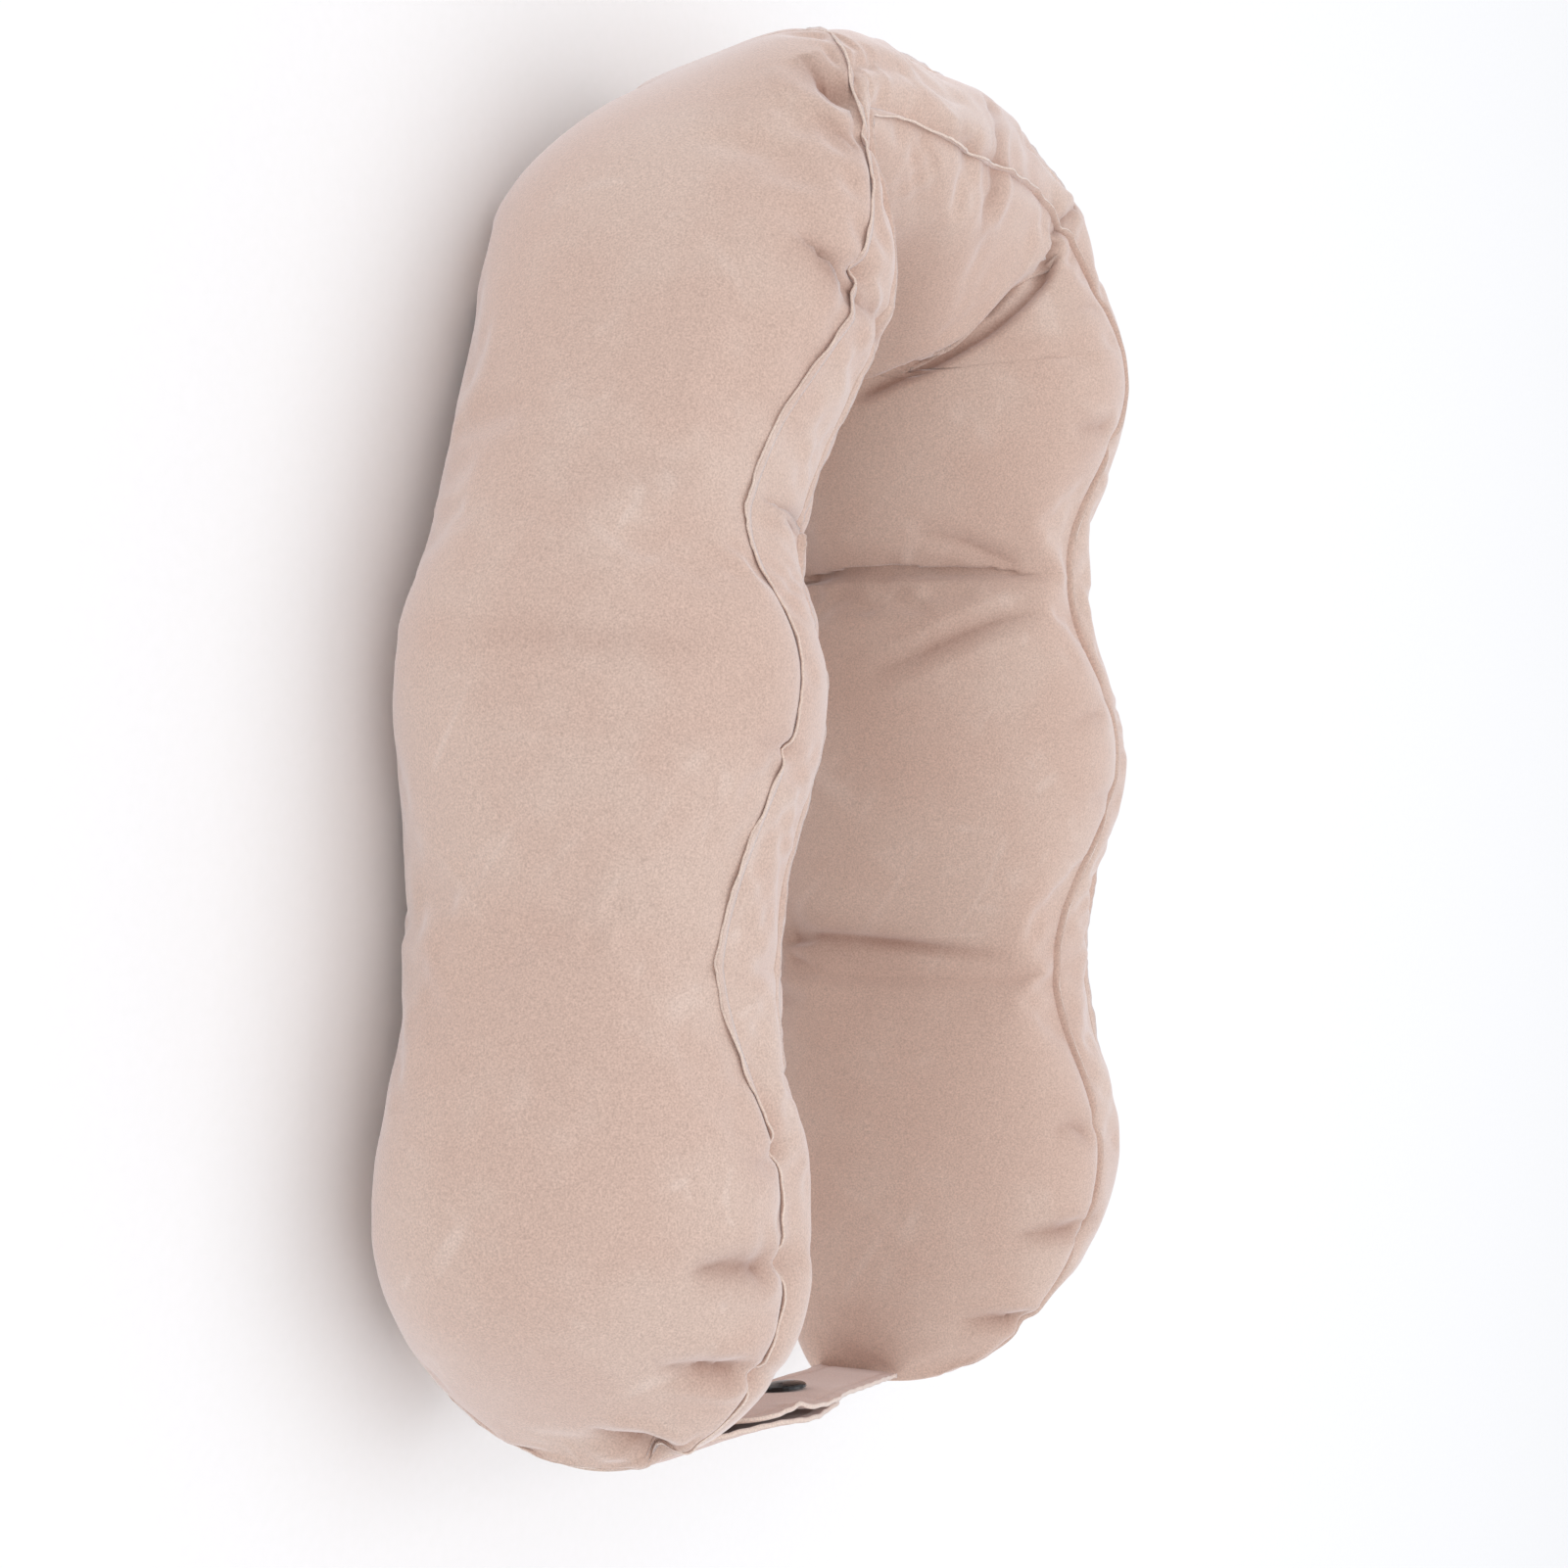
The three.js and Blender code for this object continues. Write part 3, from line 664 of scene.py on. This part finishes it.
def flocked_vinyl(name, nap, brushed, worn, sheen=1.0):
    """Soft vinyl sheet with short fibres glued upright on it. They make it matt with a fine grain and a
    soft bright rim. Hands leave smears of pile brushed the other way, paler than the nap, and broad worn
    patches. Deep in a fold its colour is painted darker and redder: painted shade, for the light that
    goes from fibre to fibre there."""
    material, tree, place = bare_material(name)
    grain, clump, patch = (
        add(tree, "ShaderNodeTexNoise", {
            "Vector": place, "Scale": per(size), "Detail": detail, "Roughness": roughness}).outputs["Fac"]
        for size, detail, roughness in (FLOCK["grain"], FLOCK["clump"], FLOCK["patch"]))
    patch = add(tree, "ShaderNodeMapRange", {0: patch, 1: 0.4, 2: 0.62},
                interpolation_type="SMOOTHSTEP").outputs[0]
    smears = None
    for turn, wide, start in SMEARS:
        turned = add(tree, "ShaderNodeMapping", {
            "Vector": place, "Rotation": turn, "Scale": (FLOCK["smear_stretch"], 1, 1)},
            vector_type="TEXTURE").outputs[0]
        smear = add(tree, "ShaderNodeTexNoise", {
            "Vector": turned, "Scale": per(wide), "Detail": 1.5, "Roughness": 0.5,
            "Distortion": 0.9}).outputs["Fac"]
        smear = add(tree, "ShaderNodeMapRange", {0: smear, 1: start, 2: start + SMEAR_EDGE}).outputs[0]
        smears = smear if smears is None else add(
            tree, "ShaderNodeMath", {0: smears, 1: smear}, operation="MAXIMUM").outputs[0]
    where = times(tree, smears, patch)
    some = times(tree, where, 0.3)
    much = times(tree, patch, 0.6)
    tone = mixed(tree, much, linear(nap), linear(worn))
    tone = mixed(tree, some, tone, linear(brushed))
    specks = add(tree, "ShaderNodeMapRange", {0: grain, 1: 0.28, 2: 0.72, 3: 0.8, 4: 1.16}).outputs[0]
    sparse = add(tree, "ShaderNodeMapRange", {0: clump, 1: 0.22, 2: 0.3, 3: 0.9, 4: 1.0}).outputs[0]
    shade = times(tree, specks, sparse)
    colour = mixed(tree, 1.0, tone, shade, blend_type="MULTIPLY")
    # Painted shade: the skin's crease attribute turns the colour darker and redder deep in a crease.
    crease_shade = add(tree, "ShaderNodeAttribute", attribute_name="crease_shade").outputs["Fac"]
    crease_shade = times(tree, crease_shade, 0.75)
    colour = mixed(tree, crease_shade, colour, linear(CREASE_SHADE_COLOUR))
    pile = add(tree, "ShaderNodeBump", {
        "Height": grain, "Strength": 0.4, "Distance": FLOCK["pile"] * MM}).outputs[0]
    shaded(tree, {
        "Base Color": colour, "Roughness": 0.95, "IOR": 1.45, "Specular IOR Level": 0.15,
        "Sheen Weight": sheen, "Sheen Roughness": 0.46, "Sheen Tint": linear("FFF6F5"), "Normal": pile})
    return material


def moulded_acetal():
    """Black acetal, moulded in a polished tool: glossy, with the faint unevenness of a cooled skin."""
    material, tree, place = bare_material("moulded_black_acetal")
    ripple = add(tree, "ShaderNodeTexNoise", {"Vector": place, "Scale": per(2.5), "Detail": 2}).outputs["Fac"]
    gloss = add(tree, "ShaderNodeMapRange", {0: ripple, 1: 0.35, 2: 0.7, 3: 0.12, 4: 0.24}).outputs[0]
    dents = add(tree, "ShaderNodeBump", {"Height": ripple, "Strength": 0.1, "Distance": 0.1 * MM}).outputs[0]
    shaded(tree, {"Base Color": linear("141416"), "Roughness": gloss, "IOR": 1.48, "Normal": dents})
    return material


def paper_sweep():
    """A studio's white paper: matt and all but even, so that it fades into the white behind."""
    material, tree, place = bare_material("white_paper_sweep")
    fibre = add(tree, "ShaderNodeTexNoise", {"Vector": place, "Scale": per(3), "Detail": 3}).outputs["Fac"]
    tone = mixed(tree, fibre, linear("F8F7F6"), linear("FCFBFB"))
    shaded(tree, {"Base Color": tone, "Roughness": 0.9, "Specular IOR Level": 0.1})
    return material


flock = flocked_vinyl("flocked_vinyl", "D0B3A4", "E8D5CA", "D6BEB0")
# Where the sheet is cut, its own paler vinyl shows beside the flock.
cut_edge = flocked_vinyl("welded_vinyl_edge", "E6CFC0", "EFDDD1", "EAD6C8")
# The tabs are two flocked sheets pressed together in the welder, so their pile lies flat, with less rim.
# Their colour is a darker, redder copy of the bag's flock: painted shade, for the shade that they lie in
# under the arms.
tab_flock_shaded = flocked_vinyl("tab_flock_painted_shade", "CBAA9C", "D9BDB0", "CFB0A2", 0.55)
acetal = moulded_acetal()


def smooth(piece):
    piece.data.polygons.foreach_set("use_smooth", [True] * len(piece.data.polygons))


def merged(piece, within):
    """Joins the points of a mesh that lie within a distance, and turns its faces outwards."""
    work = bmesh.new()
    work.from_mesh(piece.data)
    bmesh.ops.remove_doubles(work, verts=work.verts, dist=within)
    bmesh.ops.dissolve_degenerate(work, dist=within / 10, edges=work.edges)
    bmesh.ops.recalc_face_normals(work, faces=work.faces)
    work.to_mesh(piece.data)
    work.free()


def baked(piece):
    """Makes the piece's mesh what its modifiers show, and leaves none of them."""
    depsgraph = bpy.context.evaluated_depsgraph_get()
    mesh = bpy.data.meshes.new_from_object(piece.evaluated_get(depsgraph))
    piece.modifiers.clear()
    piece.data = mesh


def thickened(piece, thickness):
    """Gives a sheet its thickness, half to each side, and its rim the look of the cut edge."""
    modifier = piece.modifiers.new("thickness", "SOLIDIFY")
    modifier.thickness = thickness * MM
    modifier.offset = 0
    piece.data.materials.append(cut_edge)
    modifier.material_offset_rim = 1
    baked(piece)


# The bag
shape = swollen(plain)
shape, crease_shade = creased(shape)
bag = new_mesh("pillow_bag", shape.reshape(-1, 3) * MM, grid_faces(*shape.shape[:2]))
# This attribute carries the painted shade of the creases to the material.
bag.data.attributes.new("crease_shade", "FLOAT", "POINT").data.foreach_set("value", crease_shade.ravel())
merged(bag, 0.02 * MM)
smooth(bag)
bag.data.materials.append(flock)
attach(bag, "root")
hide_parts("bag")

# The weld flanges. Each starts so deep in the skin, has so thick a pair of sheets, and ruffles by so much
# in waves of such a length. It turns level between the two heights, and is lower at the bag's tips, by
# the share there and the rows of the table over which it grows.
FLANGE = {"deep": 0.6, "thickness": 0.6, "ruffle": 1.2, "wave": 8, "level": (1, 9), "tip_share": 0.4,
          "tip_rows": (0.02, 0.25)}
# How high each flange stands, and the degrees that it leans from upright over the panel, by row of the
# table, where the panel leaves it room.
WELDS = {
    "weld_outer": {"height": 2.3, "lean": ((0, 85), (14, 85))},
    "weld_inner": {"height": 1.9, "lean": ((0, 85), (5.8, 85), (6.05, 45), (6.5, 33), (7, 18), (7.4, 6),
                                           (8, 0), (14, -6))},
}
ROOM = 4  # degrees between a flange and the skin beside it
BESIDE = 3  # grid lines from a seam to the skin whose ways out it stands between
SMOOTHING = 12
# A flange rises in three steps: each one's share of the height, and of the ruffle.
RISES = ((0.34, 0.1), (0.33, 0.35), (0.33, 0.55))


def smoothed(values, times):
    """Values round a loop, each drawn towards its neighbours."""
    for _ in range(times):
        values = (np.roll(values, 1, axis=0) + 2 * values + np.roll(values, -1, axis=0)) / 4
    return values


def seam_loop(name, top, bottom):
    """One closed flange line: the top seam from tip to tip and the bottom one back. With each point go
    the way that the flange stands and the way out from the panel, to which it ruffles."""
    out = normals_of(shape)
    size = shape.shape[1]
    lean_at, lean = zip(*WELDS[name]["lean"])
    full = smoothstep(np.minimum(ROWS, LAST - ROWS), *FLANGE["tip_rows"])
    lines = []
    for seam in (top, bottom):
        k, side = SEAM[seam], PANEL_SIDE[seam]
        on_panel, on_band = (k + BESIDE * side) % size, (k - BESIDE * side) % size
        up = unit(out[:, on_panel] + out[:, on_band])
        across = unit(shape[:, on_panel] - shape[:, on_band])
        across = unit(across - dot(across, up)[:, None] * up)
        room = np.full(len(shape), np.inf)
        for step in (1, 2):
            beside = shape[:, (k + step * side) % size] - shape[:, k]
            angle = np.arctan2(dot(beside, across), dot(beside, up))
            room = np.minimum(room, np.degrees(angle) - ROOM)
        tilt = np.radians(smoothed(np.minimum(np.interp(ROWS, lean_at, lean), room), SMOOTHING))
        lines.append([shape[:, k], up, across, tilt[:, None], full[:, None]])
    lines[1] = [a[::-1] for a in lines[1]]
    root, up, across, tilt, full = (np.vstack([lines[0][i], lines[1][i][1:-1]]) for i in range(5))
    root = smoothed(root, 1)
    up, across = unit(smoothed(up, SMOOTHING)), unit(smoothed(across, SMOOTHING))
    stand = up * np.cos(tilt) + across * np.sin(tilt)
    low_down = 1 - smoothstep(root[:, 2:], *FLANGE["level"])
    stand = unit(stand * (1 - low_down) + unit(across * (1, 1, 0)) * low_down)
    tall = FLANGE["tip_share"] + (1 - FLANGE["tip_share"]) * full
    return root, stand * tall, up * np.sin(tilt) - across * np.cos(tilt)


def flange_nodes():
    """The node tree that raises a ruffled strip from a line of edges, along its points' own ways."""
    tree = bpy.data.node_groups.new("weld_flange", "GeometryNodeTree")
    sockets = {}
    for name, kind in (("Seam", "Geometry"), ("Height", "Float"), ("Ruffle", "Float"), ("Wave", "Float"),
                       ("Material", "Material")):
        socket = tree.interface.new_socket(name, in_out="INPUT", socket_type="NodeSocket" + kind)
        sockets[name] = socket.identifier
    tree.interface.new_socket("Flange", in_out="OUTPUT", socket_type="NodeSocketGeometry")
    given = add(tree, "NodeGroupInput").outputs
    stand, side = (add(tree, "GeometryNodeInputNamedAttribute", {"Name": name},
                       data_type="FLOAT_VECTOR").outputs[0] for name in ("stand", "side"))
    scale = add(tree, "ShaderNodeMath", {0: 1.0, 1: given["Wave"]}, operation="DIVIDE").outputs[0]
    place = add(tree, "GeometryNodeInputPosition").outputs[0]
    noise = add(tree, "ShaderNodeTexNoise", {"Vector": place, "Scale": scale, "Detail": 3, "Roughness": 0.6})
    sway = add(tree, "ShaderNodeMapRange", {0: noise.outputs["Fac"], 1: 0.35, 2: 0.7}).outputs[0]
    sway = times(tree, sway, given["Ruffle"])
    mesh, top = given["Seam"], None
    for share, lean in RISES:
        rise = times(tree, given["Height"], share)
        off = times(tree, sway, lean)
        upward = add(tree, "ShaderNodeVectorMath", {0: stand, "Scale": rise}, operation="SCALE").outputs[0]
        sideways = add(tree, "ShaderNodeVectorMath", {0: side, "Scale": off}, operation="SCALE").outputs[0]
        way = add(tree, "ShaderNodeVectorMath", {0: upward, 1: sideways}, operation="ADD").outputs[0]
        chosen = {"Selection": top} if top else {}
        raised = add(tree, "GeometryNodeExtrudeMesh", {
            "Mesh": mesh, "Offset": way, "Offset Scale": 1.0, **chosen}, mode="EDGES")
        mesh, top = raised.outputs["Mesh"], raised.outputs["Top"]
    real = add(tree, "GeometryNodeRealizeInstances", {0: mesh}).outputs[0]
    faced = add(tree, "GeometryNodeSetMaterial", {"Geometry": real, "Material": given["Material"]}).outputs[0]
    add(tree, "NodeGroupOutput", {0: faced})
    return tree, sockets


flange_tree, flange_inputs = flange_nodes()


def weld_flange(name, top, bottom):
    root, stand, side = seam_loop(name, top, bottom)
    points = (root - FLANGE["deep"] * stand) * MM
    edges = [(i, (i + 1) % len(root)) for i in range(len(root))]
    mesh = bpy.data.meshes.new(name)
    mesh.from_pydata(points.tolist(), edges, [])
    for attribute, values in (("stand", stand), ("side", side)):
        mesh.attributes.new(attribute, "FLOAT_VECTOR", "POINT").data.foreach_set("vector", values.ravel())
    piece = linked(name, mesh)
    modifier = piece.modifiers.new("flange", "NODES")
    modifier.node_group = flange_tree
    given = {"Height": (WELDS[name]["height"] + FLANGE["deep"]) * MM, "Ruffle": FLANGE["ruffle"] * MM,
             "Wave": FLANGE["wave"] * MM, "Material": flock}
    for socket, value in given.items():
        modifier[flange_inputs[socket]] = value
    baked(piece)
    thickened(piece, FLANGE["thickness"])
    for vertex in piece.data.vertices:
        vertex.co.z = max(vertex.co.z, 0)
    smooth(piece)
    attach(piece, "root")


weld_flange("weld_outer", "outer_top", "outer_bottom")
weld_flange("weld_inner", "inner_top", "inner_bottom")

# The tabs. thick is their sheet, and lean the degrees that they and the stud lean back. Above flat_until
# they ripple towards the upper edge, so far and in such waves. Their weld line lies so far inside the
# edge, and is so wide and deep.
TAB = {"thick": 1.2, "lean": 9, "flat_until": 7, "ripple": 0.1, "wave": 9,
       "weld_in": 3.2, "weld_wide": 0.8, "weld_deep": 0.25}
TAB_STEPS = {"along": 120, "across": 64, "route": 399}
TAB_END = 0.05  # from the very end of the round one, where the sheet would have no width
PULLED = {"at": -30, "wide": 3, "deep": 1.4}  # where the press stud draws in the inner tab's upper edge
STUD_AT = (173.0, -4.0, 57.0)
# A tab's middle line in the stud's frame: along the tab, how far it stands out, how far it hangs under the
# stud, its width, how far its edges fall back, and the degrees that it leans less.
TAB_COLUMNS = ("y", "away", "low", "wide", "bow", "upright")
INNER_TAB = (
    (66, 4.4, 15, 25, 0, 8),
    (60, 4, 14, 25.5, 0, 8),
    (46, 2.9, 9, 25, 0.1, 7),
    (33, 2.2, 6.5, 27, 0.2, 6),
    (20, 1.4, 5, 30, 0.7, 4),
    (6, 0.3, 3.2, 34, 1.7, 1),
    (-4, 0, 1.5, 37, 2.2, 0),
    (-14, 0, 0.5, 38.5, 2.1, 0),
    (-24, 0, 0, 40, 1.2, 0),
    (-37, 0, 0, 40, 0.2, 0),
    (-45, 0, 0, 40, 0.6, 0),
    (-60, 0, 0, 40, 0, 0),
)
OUTER_TAB = (
    (-86, 5.6, 2, 40, 4.1, 0),
    (-79, 6, 2, 40, 4.6, 0),
    (-71, 6.2, 2, 40, 4.8, 0),
    (-56, 5.2, 1, 40, 3.3, 0),
    (-40, 4.8, 0, 40, 2.2, 0),
    (-28, 4.8, 0, 40, 0.9, 0),
    (-18, 4.8, 0.5, 38, 0.3, 0),
    (-8, 4.8, 2, 35, 0.4, 0),
    (2, 4.8, 3, 33.5, 0.8, 0),
    (14, 4.8, 3, 33, 0.6, 0),
)


def from_stud(points):
    """Points in the stud's frame, as points of the part in metres."""
    lean = math.radians(TAB["lean"])
    x, y, z = points[..., 0], points[..., 1], points[..., 2]
    back, up = x * math.cos(lean) - z * math.sin(lean), x * math.sin(lean) + z * math.cos(lean)
    return (np.stack([back, y, up], axis=-1) + STUD_AT + SHIFT) * MM


def tab_mesh(name, route, pulled):
    """A tab as a sheet with a round free end, a rippled upper edge and a weld line inside its edge, with
    its flat width and length and its area."""
    rows = dict(zip(TAB_COLUMNS, np.array(route, float).T))
    places = np.linspace(0, len(route) - 1, TAB_STEPS["route"] + 1)
    stations = np.stack([rows["away"], rows["y"] - STUD_AT[1], -rows["low"]], axis=1)
    line = curve_through(stations, places)
    length = travelled(line)[-1]
    at = np.linspace(0, length - TAB_END, TAB_STEPS["along"] + 1)
    middle = at_lengths(line, at)
    place = np.interp(at, travelled(line), places)
    stops = np.arange(len(route))
    width, bow, upright = (np.interp(place, stops, rows[c]) for c in ("wide", "bow", "upright"))
    half = width / 2
    left = np.minimum((length - at) / half, 1)
    shown_half = half * np.sqrt(1 - (1 - left) ** 2)
    tangent = unit(np.gradient(middle, axis=0) * (1, 1, 0))
    normal = np.stack([tangent[:, 1], -tangent[:, 0], np.zeros(len(at))], axis=1)
    wave = TAB["ripple"] * np.cos(2 * np.pi * middle[:, 1] / TAB["wave"])
    wave -= pulled * np.exp(-(((middle[:, 1] + STUD_AT[1] - PULLED["at"]) / PULLED["wide"]) ** 2))
    share = np.linspace(-1, 1, TAB_STEPS["across"] + 1)
    up = shown_half[:, None] * share
    lift = np.clip((up - TAB["flat_until"]) / (half[:, None] - TAB["flat_until"]), 0, None) ** 2
    back = lift * wave[:, None] + bow[:, None] * (up / half[:, None]) ** 2
    from_edge = shown_half[:, None] * (1 - np.abs(share))
    back = back + TAB["weld_deep"] * np.exp(-(((from_edge - TAB["weld_in"]) / TAB["weld_wide"]) ** 2))
    tilt = np.radians(upright)[:, None]
    points = middle[:, None] - normal[:, None] * back[..., None]
    points = points + np.stack([up * np.sin(tilt), 0 * up, up * np.cos(tilt)], axis=-1)
    faces = grid_faces(len(at), len(share), closed=False)
    piece = new_mesh(name, from_stud(points).reshape(-1, 3), faces)
    area = float(np.sum((shown_half[1:] + shown_half[:-1]) * np.diff(at))) * MM * MM
    return piece, (width.max() * MM, length * MM), area


def tab_sheet(name, route, pulled, stands_for):
    piece, flat, area = tab_mesh(name, route, pulled)
    merged(piece, 0.01 * MM)
    # The tabs take the darker copy of the flock, which is painted shade.
    piece.data.materials.append(tab_flock_shaded)
    thickened(piece, TAB["thick"])
    smooth(piece)
    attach(piece, "root")
    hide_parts(stands_for)


tab_sheet("tab_inner_sheet", INNER_TAB, PULLED["deep"], "tab_inner")
tab_sheet("tab_outer_sheet", OUTER_TAB, 0, "tab_outer")

# The press stud
for node in ("snap_cap_inner", "snap_cap_outer", "snap_socket", "snap_stud"):
    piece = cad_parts[node]
    piece.data.materials.clear()
    piece.data.materials.append(acetal)

# The floor and the light, in metres and watts
FLOOR_HALF = 5
LAMP_COLOUR = "FAFBFF"
LAMPS = {
    "key": {"at": (0.1, -0.9, 1.6), "aims_at": (0, 0, 0.05), "wide": 1.2, "power": 2.4},
    "fill": {"at": (-0.3, -1.6, 0.5), "aims_at": (0, 0, 0.05), "wide": 1.6, "power": 0.9},
    "top": {"at": (0.0, 0.3, 1.9), "aims_at": (0, 0, 0), "wide": 1.2, "power": 6.5},
}
SKY = {"colour": "F5F7FA", "strength": 0.955}


def lamp(name, at, aims_at, wide, power):
    data = bpy.data.lights.new(name, "AREA")
    data.shape = "SQUARE"
    data.size = wide
    data.energy = power
    data.color = linear(LAMP_COLOUR)[:3]
    light = linked(name, data)
    light.location = at
    light.rotation_euler = (Vector(aims_at) - Vector(at)).to_track_quat("-Z", "Y").to_euler()


floor_corners = [(x * FLOOR_HALF, y * FLOOR_HALF, 0) for x, y in ((-1, -1), (1, -1), (1, 1), (-1, 1))]
floor = new_mesh("floor", floor_corners, [(0, 1, 2, 3)])
floor.data.materials.append(paper_sweep())
for name, values in LAMPS.items():
    lamp(name, **values)
world = bpy.data.worlds.new("studio")
bpy.context.scene.world = world
world.use_nodes = True
background = world.node_tree.nodes["Background"].inputs
background["Color"].default_value = linear(SKY["colour"])
background["Strength"].default_value = SKY["strength"]
bpy.context.scene.view_settings.view_transform = "Standard"
